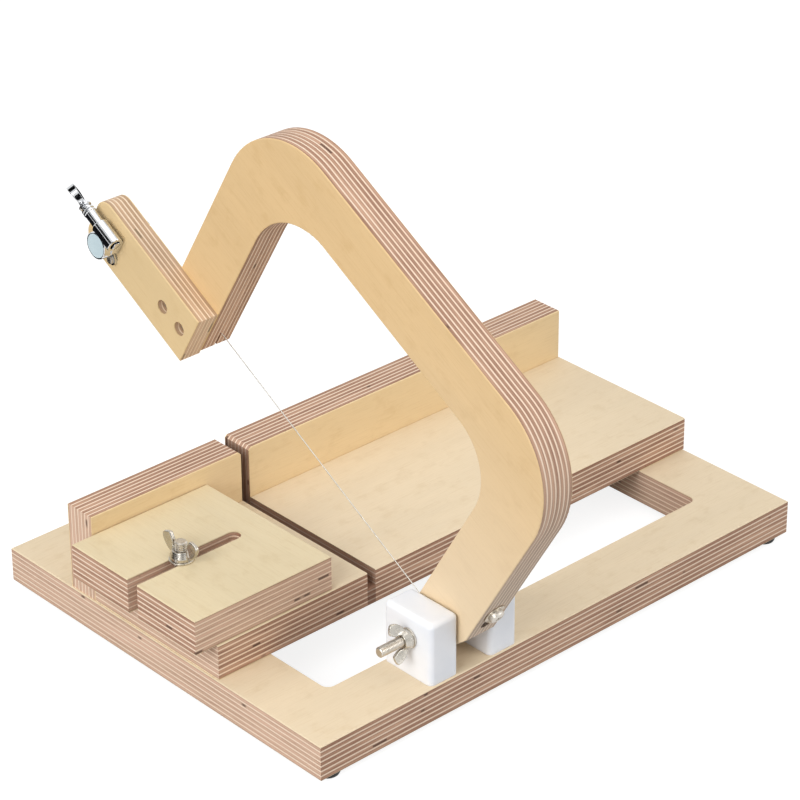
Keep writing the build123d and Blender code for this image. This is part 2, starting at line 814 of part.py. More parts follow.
# Tuning machine, on the tuner block's left face
worm_t = post_t + worm_offset
worm_start = post_s - worm_back
worm_x = block_face - worm_height
worm_point = arm_point(worm_start, worm_t, worm_x)
along = arm_vector(1, 0)
cavity_radius = housing_radius - housing_wall
cap_x = block_face - housing_height
tube_end = worm_tube_length + sleeve_length
with BuildPart() as tuner_housing:
    with BuildSketch(arm_plane.offset(block_face)):
        with Locations((post_s, post_t)):
            Circle(housing_radius)
        with Locations((worm_start + worm_tube_length / 2, (post_t + worm_t) / 2)):
            Rectangle(worm_tube_length, worm_offset)
    extrude(amount=-worm_height)
    with BuildSketch(arm_plane.offset(block_face)):
        with Locations((post_s, post_t)):
            Circle(housing_radius)
    extrude(amount=-housing_height)
    with BuildSketch(arm_plane.offset(block_face)):
        with BuildLine():
            Polyline(
                (ear_s - ear_radius, ear_t),
                (ear_s + ear_radius, ear_t),
                (post_s + ear_radius, post_t - housing_radius / 2),
                (post_s - housing_radius / 2, post_t - housing_radius / 2),
                close=True,
            )
        make_face()
        with Locations((ear_s, ear_t)):
            Circle(ear_radius)
    extrude(amount=-housing_plate)
    with BuildSketch(Plane(origin=worm_point, z_dir=along)):
        Circle(worm_tube / 2)
    extrude(amount=worm_tube_length)
    with BuildSketch(Plane(origin=worm_point, z_dir=along)):
        Circle(sleeve_diameter / 2)
    extrude(amount=tube_end)
    with Locations(*face_outward([worm_point], -along)):
        CounterBoreHole(sleeve_bore / 2, worm_bore / 2, worm_tube_length - housing_wall, tube_end)
    with BuildSketch(arm_plane.offset(block_face - housing_plate)):
        with Locations((post_s, post_t)):
            Circle(cavity_radius)
    extrude(amount=-(housing_height - housing_plate), mode=Mode.SUBTRACT)
    with BuildSketch(arm_plane.offset(cap_x)):
        with Locations((post_s, post_t)):
            Circle(cap_radius + hole_clearance)
    extrude(amount=cap_thickness, mode=Mode.SUBTRACT)
    with Locations(*face_outward([arm_point(post_s, post_t, block_face)], (1, 0, 0))):
        Hole(post_diameter / 2 + post_clearance, housing_plate)
    with Locations(*face_outward([arm_point(ear_s, ear_t, block_face)], (1, 0, 0))):
        Hole(ear_screw / 2 + hole_clearance, housing_plate)
tuner_housing.part.label = "tuner_housing"
export_step(tuner_housing.part, "parts/tuner_housing.step")

with BuildPart() as tuner_cap:
    with BuildSketch(arm_plane.offset(cap_x)):
        with Locations((post_s, post_t)):
            Circle(cap_radius)
    extrude(amount=cap_thickness)
tuner_cap.part.label = "tuner_cap"
export_step(tuner_cap.part, "parts/tuner_cap.step")

with BuildPart() as tuner_screw:
    add(
        wood_screw(
            arm_point(ear_s, ear_t, block_face - housing_plate),
            leftward,
            ear_screw,
            ear_screw_length,
            ear_screw_head,
            ear_screw_head_height,
        )
    )
tuner_screw.part.label = "tuner_screw"
export_step(tuner_screw.part, "parts/tuner_screw.step")

# String post with its gear, turning in the bushing
gear_x = worm_x - gear_thickness / 2
post_height = post_stand - ply / 2 - gear_x
with BuildPart() as string_post:
    gear_and_post = [
        (0, 0),
        (gear_radius, 0),
        (gear_radius, gear_thickness),
        (post_diameter / 2, gear_thickness),
        (post_diameter / 2, post_height - post_chamfer),
        (post_diameter / 2 - post_chamfer, post_height),
        (0, post_height),
    ]
    add(turned(arm_point(post_s, post_t, gear_x), (1, 0, 0), gear_and_post))
    wire_mouth = arm_point(post_s, post_t, -wrap_turns * wrap_pitch)
    with Locations(*face_outward([wire_mouth], arm_vector(0, 1))):
        Hole(post_string_hole / 2, post_diameter)
string_post.part.label = "string_post"
export_step(string_post.part, "parts/string_post.step")

with BuildPart() as tuner_washer:
    seat = arm_point(post_s, post_t, -ply / 2)
    hole = bushing_diameter / 2 + hole_clearance
    add(plain_washer(seat, (1, 0, 0), hole, tuner_washer_diameter, tuner_washer_thickness))
tuner_washer.part.label = "tuner_washer"
export_step(tuner_washer.part, "parts/tuner_washer.step")

with BuildPart() as tuner_bushing:
    hex_seat = -ply / 2 + tuner_washer_thickness
    with BuildSketch(arm_plane.offset(hex_seat)):
        with Locations((post_s, post_t)):
            RegularPolygon(bushing_flats / 2, 6, major_radius=False)
    extrude(amount=bushing_hex_height)
    with BuildSketch(arm_plane.offset(block_face + bushing_set)):
        with Locations((post_s, post_t)):
            Circle(bushing_diameter / 2)
    extrude(amount=hex_seat - block_face - bushing_set)
    with Locations(*face_outward([arm_point(post_s, post_t, block_face)], leftward)):
        Hole(post_diameter / 2 + post_clearance, hex_seat + bushing_hex_height - block_face)
tuner_bushing.part.label = "tuner_bushing"
export_step(tuner_bushing.part, "parts/tuner_bushing.step")

# Key: worm, shaft, collar rings and a flat button
shaft = sleeve_bore / 2 - key_clearance
ring_start = tube_end + ring_gap
button_start = ring_start + 2 * ring_width + 2 * neck_width
with BuildPart() as tuner_key:
    shaft_outline = [
        (0, worm_back - worm_length / 2),
        (worm_diameter / 2, worm_back - worm_length / 2),
        (worm_diameter / 2, worm_back + worm_length / 2),
        (shaft, worm_back + worm_length / 2 + worm_run_out),
        (shaft, ring_start),
        (ring_diameter / 2, ring_start),
        (ring_diameter / 2, ring_start + ring_width),
        (neck_diameter / 2, ring_start + ring_width),
        (neck_diameter / 2, ring_start + ring_width + neck_width),
        (ring_diameter / 2, ring_start + ring_width + neck_width),
        (ring_diameter / 2, ring_start + 2 * ring_width + neck_width),
        (neck_diameter / 2 - stem_step, ring_start + 2 * ring_width + neck_width),
        (neck_diameter / 2 - stem_step, button_start + stem_depth),
        (0, button_start + stem_depth),
    ]
    add(turned(worm_point, along, shaft_outline))
    spin = math.radians(button_turn)
    broad = arm_vector(0, math.sin(spin), -math.cos(spin))
    button_base = worm_point + along * button_start
    side_plane = Plane(origin=button_base, x_dir=broad, z_dir=along)
    with BuildSketch(side_plane):
        RectangleRounded(button_root_width, button_thin, button_round)
    with BuildSketch(side_plane.offset(button_belly)):
        RectangleRounded(button_width, (button_thin + button_thick) / 2, button_round)
    with BuildSketch(side_plane.offset(button_length)):
        RectangleRounded(button_tip_width, button_thick, button_round)
    loft(ruled=True)
tuner_key.part.label = "tuner_key"
export_step(tuner_key.part, "parts/tuner_key.step")
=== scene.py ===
import math

import bpy
from mathutils import Euler, Matrix, Vector


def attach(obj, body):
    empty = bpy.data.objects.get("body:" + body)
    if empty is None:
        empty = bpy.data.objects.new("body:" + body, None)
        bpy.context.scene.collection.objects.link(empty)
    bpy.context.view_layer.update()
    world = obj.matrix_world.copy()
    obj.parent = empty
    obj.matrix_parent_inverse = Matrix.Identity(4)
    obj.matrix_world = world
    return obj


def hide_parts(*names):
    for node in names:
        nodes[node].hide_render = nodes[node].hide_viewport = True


# A soap cutter of birch plywood with white pivot blocks, zinc hardware and a chrome wire tuner.
# Metres, in the part's own frame: +X right along the base, +Y to the back, +Z up.

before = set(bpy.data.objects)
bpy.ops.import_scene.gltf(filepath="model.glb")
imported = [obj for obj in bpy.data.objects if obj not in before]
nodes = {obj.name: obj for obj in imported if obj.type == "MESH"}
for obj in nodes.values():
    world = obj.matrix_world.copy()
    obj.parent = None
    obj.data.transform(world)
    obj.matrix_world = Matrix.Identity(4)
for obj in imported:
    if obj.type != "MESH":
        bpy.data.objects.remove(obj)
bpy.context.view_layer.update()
mm = 0.001

# Places and directions
cut_x = -59.6 * mm
pivot = Vector((-59.6, -97.5, 41.0)) * mm
arm_open = math.radians(30.5)
arm_s = Vector((0, math.cos(arm_open), math.sin(arm_open)))
arm_t = Vector((0, -math.sin(arm_open), math.cos(arm_open)))
right = Vector((1, 0, 0))
back = Vector((0, 1, 0))
up = Vector((0, 0, 1))
ply = 18 * mm
thin_ply = 12 * mm
block_face = -21 * mm
stop_bolt_at = Vector((-135.0, 2.5, 7.0)) * mm
plate_top = 57 * mm
pivot_block_outer = 26.75 * mm

# Hardware sizes
bolt_chamfer = 0.4 * mm
hole_clearance = 0.1 * mm
washer_thickness = 1.0 * mm
washer_play = 0.02 * mm
wing_turn = math.radians(2.7)
pivot_wing_turn = math.radians(15)


def arm_point(s, t, x):
    """A point of the arm, given closed: s back from the pivot, t up, x to the right, in metres."""
    return pivot + arm_s * s + arm_t * t + right * x


def place(at, along, side):
    """The place of a piece that was made standing on the origin: its Z along, its X to a side."""
    z = along.normalized()
    y = z.cross(side).normalized()
    x = y.cross(z)
    where = Matrix((x, y, z)).transposed().to_4x4()
    where.translation = at
    return where


# Modelling helpers

# A face counts as square to an axis over this cosine; vertices this near become one
squarely = 0.9
weld = 1e-6
thread_steps = 28
cast_voxel = 0.2 * mm


def in_mm(*rows):
    """Rows of numbers in millimetres, turned into metres."""
    return [tuple(value * mm for value in row) for row in rows]


def select_only(*pieces):
    """Leaves these pieces selected and the last one active."""
    bpy.ops.object.select_all(action="DESELECT")
    for piece in pieces:
        piece.select_set(True)
    bpy.context.view_layer.objects.active = pieces[-1]


def begin(name):
    """Names the primitive that was just added and puts its place into its mesh."""
    piece = bpy.context.object
    piece.name = name
    piece.data.name = name
    select_only(piece)
    bpy.ops.object.transform_apply(location=True, rotation=True, scale=True)
    return piece


def pick(kind, test):
    """Opens the active mesh and selects what passes the test of its middle and its direction."""
    if bpy.context.object.mode != "EDIT":
        bpy.ops.object.mode_set(mode="EDIT")
    bpy.ops.mesh.select_mode(type=kind)
    bpy.ops.mesh.select_all(action="DESELECT")
    bpy.ops.object.mode_set(mode="OBJECT")
    mesh = bpy.context.object.data
    if kind == "FACE":
        for face in mesh.polygons:
            face.select = test(face.center, face.normal)
    else:
        for vertex in mesh.vertices:
            vertex.select = test(vertex.co, vertex.normal)
    bpy.ops.object.mode_set(mode="EDIT")


def close_mesh():
    """Leaves edit mode."""
    bpy.ops.object.mode_set(mode="OBJECT")


def apply_modifier(piece, kind, **settings):
    """Adds a modifier with these settings and applies it."""
    modifier = piece.modifiers.new(kind, kind)
    for name, value in settings.items():
        setattr(modifier, name, value)
    select_only(piece)
    bpy.ops.object.modifier_apply(modifier=modifier.name)


def smooth(piece, angle):
    """Shades a piece smooth, but for the edges that turn by more than this angle in degrees."""
    select_only(piece)
    bpy.ops.object.shade_smooth_by_angle(angle=math.radians(angle))


def ease_edges(piece, width, segments=2, angle=35):
    """Rounds the sharp edges of a piece and shades it smooth between them."""
    apply_modifier(
        piece, "BEVEL", width=width, segments=segments, limit_method="ANGLE",
        angle_limit=math.radians(angle), harden_normals=False,
    )
    smooth(piece, angle)


def join(name, *pieces):
    """Makes one mesh of several pieces."""
    select_only(*pieces)
    bpy.ops.object.join()
    joined = bpy.context.object
    joined.name = name
    joined.data.name = name
    return joined


def carve(piece, tool, operation="DIFFERENCE"):
    """Cuts a tool out of a piece and removes the tool."""
    apply_modifier(piece, "BOOLEAN", object=tool, operation=operation, solver="EXACT")
    bpy.data.objects.remove(tool)


def settle(piece, where):
    """Moves a finished shape to its place; its object stays at the origin."""
    piece.matrix_world = where
    select_only(piece)
    bpy.ops.object.transform_apply(location=True, rotation=True, scale=True)


def dress(piece, body, slot, material, *replaced):
    """Puts a finished piece on its body with its material and the nodes it stands for."""
    piece.data.materials.clear()
    piece.data.materials.append(material)
    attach(piece, body)
    if replaced:
        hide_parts(*replaced)


def stepped(name, profile, sides=48):
    """A round solid, extruded ring by ring; profile lists (height, radius) from the bottom up."""
    (z0, r0), (z1, r1) = profile[:2]
    bpy.ops.mesh.primitive_cylinder_add(
        vertices=sides, radius=r0, depth=z1 - z0, location=(0, 0, (z0 + z1) / 2)
    )
    piece = begin(name)
    top = z1
    radius = r0
    tiny = 1e-7
    pick("FACE", lambda c, n: n.z > squarely)
    if abs(r1 - r0) > tiny:
        bpy.ops.transform.resize(value=(r1 / r0, r1 / r0, 1), center_override=(0, 0, top))
        radius = r1
    for z, r in profile[2:]:
        bpy.ops.mesh.extrude_region_move(TRANSFORM_OT_translate={"value": (0, 0, z - top)})
        scale = r / radius
        bpy.ops.transform.resize(value=(scale, scale, 1), center_override=(0, 0, z))
        top = z
        radius = r
    close_mesh()
    return piece


def ring(name, hole, profile, sides=64):
    """A stepped round solid with a bore right through it."""
    piece = stepped(name, profile, sides)
    low = profile[0][0]
    high = profile[-1][0]
    edge = 0.02 * mm
    for level, radius in ((low, profile[0][1]), (high, profile[-1][1])):
        pick("FACE", lambda c, n: abs(n.z) > squarely and abs(c.z - level) < edge)
        bpy.ops.mesh.inset(thickness=(radius - hole) * math.cos(math.pi / sides))
    pick(
        "FACE",
        lambda c, n: abs(n.z) > squarely and c.xy.length < edge
        and (abs(c.z - low) < edge or abs(c.z - high) < edge),
    )
    bpy.ops.mesh.bridge_edge_loops()
    close_mesh()
    return piece


def thread(name, radius, length, thread_pitch, chamfer):
    """A threaded shank from the origin up, with a chamfered end."""
    flank = 0.2 * mm
    spare_turns = 3
    thread_depth = 0.5 * thread_pitch
    root = radius - thread_depth
    bpy.ops.mesh.primitive_plane_add(
        size=thread_pitch, location=(root + thread_pitch / 2, 0, -thread_pitch),
        rotation=(math.pi / 2, 0, 0),
    )
    piece = begin(name)
    pick("VERT", lambda c, n: c.x > root + flank)
    bpy.ops.mesh.delete(type="VERT")
    bpy.ops.mesh.select_all(action="SELECT")
    bpy.ops.mesh.subdivide(number_cuts=2)
    crest = thread_pitch / 4
    pick("VERT", lambda c, n: abs(c.z + thread_pitch) < crest)
    bpy.ops.transform.translate(value=(thread_depth, 0, 0))
    close_mesh()
    turns = int(length / thread_pitch) + spare_turns
    apply_modifier(
        piece, "SCREW", axis="Z", angle=2 * math.pi, screw_offset=thread_pitch,
        steps=thread_steps, render_steps=thread_steps, iterations=turns,
        use_merge_vertices=True, merge_threshold=weld,
    )
    pick("VERT", lambda c, n: True)
    bpy.ops.mesh.remove_doubles(threshold=weld)
    bpy.ops.mesh.bisect(
        plane_co=(0, 0, 0), plane_no=(0, 0, 1), clear_inner=True, use_fill=True
    )
    bpy.ops.mesh.select_all(action="SELECT")
    bpy.ops.mesh.bisect(
        plane_co=(0, 0, length - chamfer), plane_no=(0, 0, 1), clear_outer=True, use_fill=True
    )
    near = 0.01 * mm
    pick("FACE", lambda c, n: abs(c.z - length + chamfer) < near and abs(n.z) > squarely)
    bpy.ops.mesh.extrude_region_move(TRANSFORM_OT_translate={"value": (0, 0, chamfer)})
    narrow = (radius - chamfer) / radius
    bpy.ops.transform.resize(value=(narrow, narrow, 1), center_override=(0, 0, length))
    bpy.ops.mesh.select_all(action="SELECT")
    bpy.ops.mesh.normals_make_consistent(inside=False)
    close_mesh()
    smooth(piece, angle=28)
    return piece


def hex_head(name, flats, height):
    """A hexagon head on the origin, whose corners a cone eases on top."""
    across = flats / math.sqrt(3)
    cone_foot = across * 1.9
    cone_top = flats * 0.47
    cone_height = height * 1.5
    cone_middle = height * 0.25 + 0.005 * mm
    bpy.ops.mesh.primitive_cylinder_add(
        vertices=6, radius=across, depth=height, location=(0, 0, height / 2)
    )
    piece = begin(name)
    bpy.ops.mesh.primitive_cone_add(
        vertices=64, radius1=cone_foot, radius2=cone_top, depth=cone_height,
        location=(0, 0, cone_middle),
    )
    dome = begin("dome")
    carve(piece, dome, "INTERSECT")
    ease_edges(piece, 0.15 * mm)
    return piece


def grown(name, sections):
    """A bar grown face by face; sections list (x, z, tilt in degrees, height, thickness)."""
    x, z, turned, height, thickness = sections[0]
    start = 0.4 * mm
    bpy.ops.mesh.primitive_cube_add(size=1, location=(x - start / 2, 0, z))
    bpy.context.object.scale = (start, thickness, height)
    piece = begin(name)
    pick("FACE", lambda c, n: n.x > squarely)
    for nx, nz, new_tilt, new_height, new_thickness in sections[1:]:
        bpy.ops.mesh.extrude_region_move(
            TRANSFORM_OT_translate={"value": (nx - x, 0, nz - z)}
        )
        middle = (nx, 0, nz)
        bpy.ops.transform.rotate(
            value=math.radians(new_tilt - turned), orient_axis="Y", center_override=middle
        )
        wide = new_height / height
        bpy.ops.transform.resize(
            value=(wide, new_thickness / thickness, wide), center_override=middle
        )
        x, z, turned, height, thickness = nx, nz, new_tilt, new_height, new_thickness
    close_mesh()
    return piece


def wing_nut(name, bore, span, height, thickness, foot, top, boss_height):
    """A cast wing nut standing on the origin, its wings along X; sizes in millimetres.

    A wing grows from inside the boss, and its sections are (x, z, tilt, height, thickness).
    """
    boss = ring(
        name, bore / 2 * mm,
        [(0, foot * 0.49 * mm), (0.5 * mm, foot / 2 * mm), (1.5 * mm, foot / 2 * mm),
         (boss_height * mm, top / 2 * mm)],
    )
    tip = span / 2
    wall = 0.9
    stem = thickness * 1.15
    sections = [
        (bore / 2 + wall, boss_height * 0.5, 0, boss_height * 0.85, stem),
        (tip - 6.6, boss_height * 0.75, 24, height * 0.56, stem),
        (tip - 4.9, height * 0.52, 44, height * 0.60, stem),
        (tip - 3.7, height * 0.70, 56, height * 0.60, stem),
        (tip - 3.1, height * 0.86, 66, height * 0.56, thickness * 1.1),
        (tip - 2.9, height * 0.97, 74, height * 0.42, thickness * 0.9),
    ]
    sections = [(x * mm, z * mm, turn, h * mm, w * mm) for x, z, turn, h, w in sections]
    hollow_from = (tip - 6) * mm
    hollow_rim = 1.1 * mm
    hollow_share = 0.5
    hollow_side = 0.7
    wings = []
    for side in (0, math.pi):
        wing = grown("wing", sections)
        pick("FACE", lambda c, n: abs(n.y) > hollow_side and c.x > hollow_from)
        bpy.ops.mesh.inset(thickness=hollow_rim)
        bpy.ops.transform.resize(value=(1, hollow_share, 1), center_override=(0, 0, 0))
        close_mesh()
        apply_modifier(wing, "SUBSURF", levels=3, render_levels=3)
        settle(wing, Matrix.Rotation(side, 4, "Z"))
        wings.append(wing)
    nut = join(name, *wings, boss)
    apply_modifier(nut, "REMESH", mode="VOXEL", voxel_size=cast_voxel)
    apply_modifier(nut, "SMOOTH", factor=0.5, iterations=4)
    smooth(nut, angle=60)
    return nut


def pan_screw(name, head, head_height, shank, length, recess):
    """A cross-recessed screw; its head stands on the origin and its shank goes down."""
    rim = head_height * 0.45
    profile = [
        (0, head * 0.97), (head_height - rim, head), (head_height - rim * 0.45, head * 0.93),
        (head_height - rim * 0.12, head * 0.72), (head_height, head * 0.4),
    ]
    cap = stepped(name, profile, sides=40)
    blade_size = (head * 1.05, head * 0.24, head_height * 1.1)
    blade_taper = (0.45, 0.8, 1)
    for turn in (0, math.pi / 2):
        bpy.ops.mesh.primitive_cube_add(size=1, location=(0, 0, head_height))
        bpy.context.object.scale = blade_size
        blade = begin("blade")
        pick("VERT", lambda c, n: c.z < head_height)
        bpy.ops.transform.resize(value=blade_taper, center_override=(0, 0, head_height))
        close_mesh()
        settle(blade, Matrix.Rotation(turn + recess, 4, "Z"))
        carve(cap, blade)
    under_head = 0.02 * mm
    body = stepped(
        "shank",
        [(-length, shank * 0.15), (-length * 0.82, shank * 0.75), (-length * 0.8, shank * 0.8),
         (-under_head, shank)],
        sides=24,
    )
    screw = join(name, body, cap)
    smooth(screw, angle=32)
    return screw


# Materials


def new_material(name):
    """A new node material, with its tree and its shader."""
    material = bpy.data.materials.new(name)
    material.use_nodes = True
    shader = material.node_tree.nodes["Principled BSDF"]
    return material, material.node_tree, shader


class Sheet:
    """Adds nodes to a node tree and links them."""

    def __init__(self, tree):
        self.tree = tree

    def node(self, kind, **settings):
        made = self.tree.nodes.new(kind)
        for name, value in settings.items():
            setattr(made, name, value)
        return made

    def link(self, source, target):
        self.tree.links.new(source, target)

    def put(self, socket, value):
        if isinstance(value, bpy.types.NodeSocket):
            self.link(value, socket)
        else:
            socket.default_value = value

    def math(self, operation, a, b=0.0):
        made = self.node("ShaderNodeMath", operation=operation)
        for socket, value in zip(made.inputs, (a, b)):
            self.put(socket, value)
        return made.outputs[0]

    def times(self, a, b):
        return self.math("MULTIPLY", a, b)

    def mix(self, share, a, b):
        made = self.node("ShaderNodeMix", data_type="RGBA", blend_type="MIX")
        self.put(made.inputs["Factor"], share)
        self.put(made.inputs[6], a)
        self.put(made.inputs[7], b)
        return made.outputs[2]

    def stretch(self, vector, scale):
        made = self.node("ShaderNodeMapping")
        self.link(vector, made.inputs["Vector"])
        made.inputs["Scale"].default_value = scale
        return made.outputs[0]

    def noise(self, vector, scale=1.0, detail=3.0, roughness=0.5):
        made = self.node("ShaderNodeTexNoise")
        self.link(vector, made.inputs["Vector"])
        made.inputs["Scale"].default_value = scale
        made.inputs["Detail"].default_value = detail
        made.inputs["Roughness"].default_value = roughness
        return made.outputs["Fac"]

    def ramp(self, value, low, high, from_low=0.0, to_high=1.0):
        made = self.node("ShaderNodeMapRange", interpolation_type="SMOOTHSTEP")
        self.put(made.inputs["Value"], value)
        for name, number in (
            ("From Min", low), ("From Max", high), ("To Min", from_low), ("To Max", to_high)
        ):
            made.inputs[name].default_value = number
        return made.outputs[0]

    def tint(self, colour, pattern, low, high, strength, tone):
        """Puts a tone over a colour where a pattern rises from low to high."""
        return self.mix(self.times(self.ramp(pattern, low, high), strength), colour, tone)

    def bump(self, height, distance, strength):
        made = self.node("ShaderNodeBump")
        self.link(height, made.inputs["Height"])
        made.inputs["Distance"].default_value = distance
        made.inputs["Strength"].default_value = strength
        return made.outputs[0]


def rgb(red, green, blue):
    """A colour as it shows on a screen, 0 to 255, in the renderer's linear values."""
    linear = []
    for value in (red, green, blue):
        v = value / 255
        linear.append(v / 12.92 if v <= 0.04045 else ((v + 0.055) / 1.055) ** 2.4)
    return (*linear, 1)


# Patterns in the wood: repeats per millimetre along the grain, across it and through the sheet,
# then the detail and the roughness of the noise
patterns = {
    "sway": ((0.012, 0.012, 0.05), 2, 0.5),
    "streak": ((0.05, 0.05, 4.5), 4, 0.7),
    "fleck": ((0.9, 0.9, 5.0), 3, 0.75),
    "patch": ((0.02, 0.02, 0.35), 2, 0.5),
    "figure": ((0.008, 0.045, 0.02), 3, 0.6),
    "fine": ((0.06, 1.7, 0.6), 5, 0.65),
    "mottle": ((0.10, 0.14, 0.1), 4, 0.6),
    "pores": ((0.35, 4.5, 1.0), 2, 0.5),
}

# Colours of the plies and of what marks them; pairs are the darkest and the palest of a ply
pale_ply = (rgb(228, 198, 172), rgb(248, 229, 208))
brown_ply = (rgb(138, 98, 78), rgb(194, 154, 128))
cross_cut_ply = (rgb(186, 148, 126), rgb(224, 194, 168))
brown_fleck = rgb(120, 82, 64)
brown_patch = rgb(200, 160, 134)
cross_cut_patch = rgb(222, 186, 162)
glue_seam = rgb(104, 64, 48)
void_dark = rgb(52, 32, 22)
pore_brown = rgb(158, 112, 72)
rim_brown = rgb(122, 82, 62)
# Painted shade on the walls of the saw cut
kerf_shade_colour = rgb(88, 52, 34)
# Painted shade inside the lug's pocket
pocket_shade_colour = rgb(58, 36, 24)
# Painted sheen, paler and greyer, on the arm near the pivot
arm_sheen_colour = rgb(240, 231, 212)
tuner_pale = rgb(248, 228, 180)

# Shares of a face's own colour in its deep grain and in its bright grain
deep_shares = (0.86, 0.80, 0.70)
bright_share = 1.05

# Where each mark starts and where it is full, and for some how strong it is then. A mark
# follows its pattern, or the depth in millimetres below the face, or the beat of the plies,
# which is 0 in the middle of a brown one and 1 in the middle of a pale one.
marks = {
    "brown": (0.3, 0.72), "fleck": (0.52, 0.75, 1), "patch": (0.42, 0.7, 1),
    "tan": (0.35, 0.65), "tan_patch": (0.35, 0.7, 1), "band": (0.58, 0.74),
    "seam_start": (0.5, 0.6), "seam_end": (0.7, 0.6), "void": (0.70, 0.73),
    "void_ply": (0.52, 0.4), "figure": (0.3, 0.7), "fine": (0.45, 0.8, 0.5),
    "mottle": (0.5, 0.75, 0.38), "pores": (0.66, 0.8, 0.22), "skin": (0.62, 0.42),
    "rim_start": (0.45, 0.62), "rim_end": (0.95, 0.7),
}

# How strongly the other marks colour the wood, and how much each pattern shapes its surface
seam_share = 0.55
void_share = 0.75
rim_share = 0.45
# Share of the painted shade inside the lug's pocket
pocket_share = 0.8
# Share of the painted shade in the saw cut
kerf_share = 0.55
# Share of the painted sheen on the arm
arm_sheen_share = 0.37
tuner_pale_share = 0.2
skin_dullness = -0.25
fine_relief = 0.5
band_relief = 0.8
streak_relief = 0.5
relief_strength = 0.6

# Make-up of the boards, in millimetres: both face veneers together, the least thickness of a
# board with 13 plies, the brown and pale pairs of plies in it and in a thinner one, and how much
# the plies sway
to_mm = 1000
face_veneers = 1.0
thick_board = 14
pairs_thick = 6.65
pairs_thin = 4.65
ply_sway = 0.3

# Voids along a ply and from ply to ply, the patterns' shift from board to board, and the shine
void_scale = 0.06
void_step = 7.3
seed_steps = (37.1, 53.7, 11.3)
wood_roughness = (0.5, 0.82)
wood_relief = 0.05 * mm
wood_specular = 0.35

# Where the painted shade of the kerf and the pocket and the painted sheen of the arm start and
# where they are full, in millimetres: from the kerf's middle, in the squared distance from the
# axis of the lug's pocket and along it, and up and along the arm
kerf_edge = (2.56, 2.50)
pocket_t = 17
pocket_edge = (15.2, 14.4)
pocket_front = (-15.95, -15.7)
pocket_back = (-9.0, -9.6)
sheen_t = (150, 20)
sheen_s = (130, 20)


